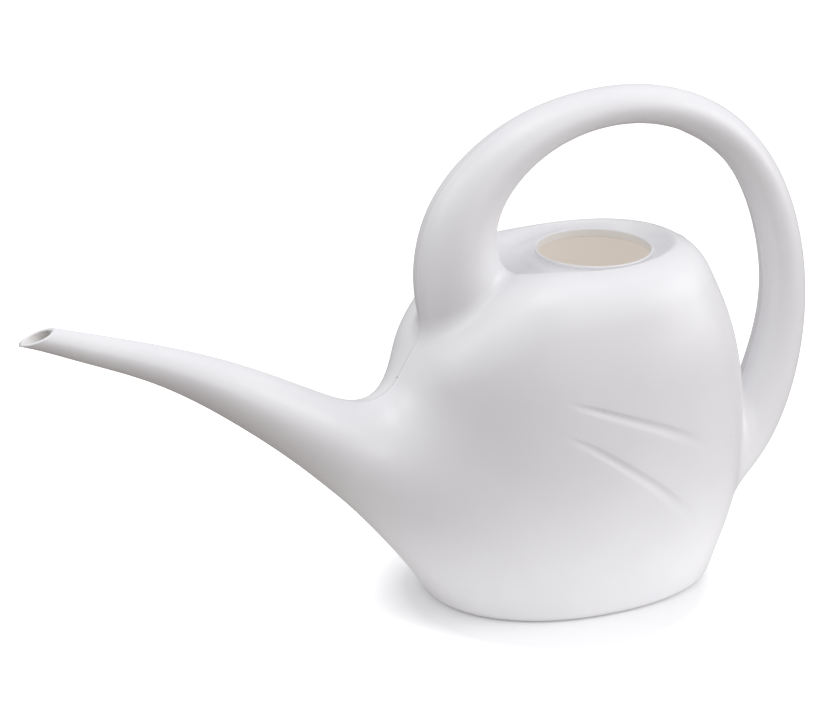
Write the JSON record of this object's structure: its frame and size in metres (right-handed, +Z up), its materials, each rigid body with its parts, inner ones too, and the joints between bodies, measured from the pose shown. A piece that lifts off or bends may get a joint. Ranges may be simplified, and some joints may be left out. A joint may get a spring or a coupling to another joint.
{
  "type": "watering can",
  "caption": "Indoor watering can with a long tapering spout, an arched loop handle and an open oval-shouldered tank.",
  "frame": {"origin": "on the standing surface, below the middle of the overall box", "axes": "+Z up, spout towards -X, back of the handle towards +X, mirror symmetric about Y = 0"},
  "size_m": [0.3867, 0.1192, 0.2343],
  "materials": {
    "white_polythene": "satin, faintly waxy white polythene"
  },
  "bodies": {
    "root": {"base_pan": "white_polythene", "tank_wall": "white_polythene", "tank_top": "white_polythene", "filler_rim": "white_polythene", "spout": "white_polythene", "handle": "white_polythene"}
  },
  "joints": []
}
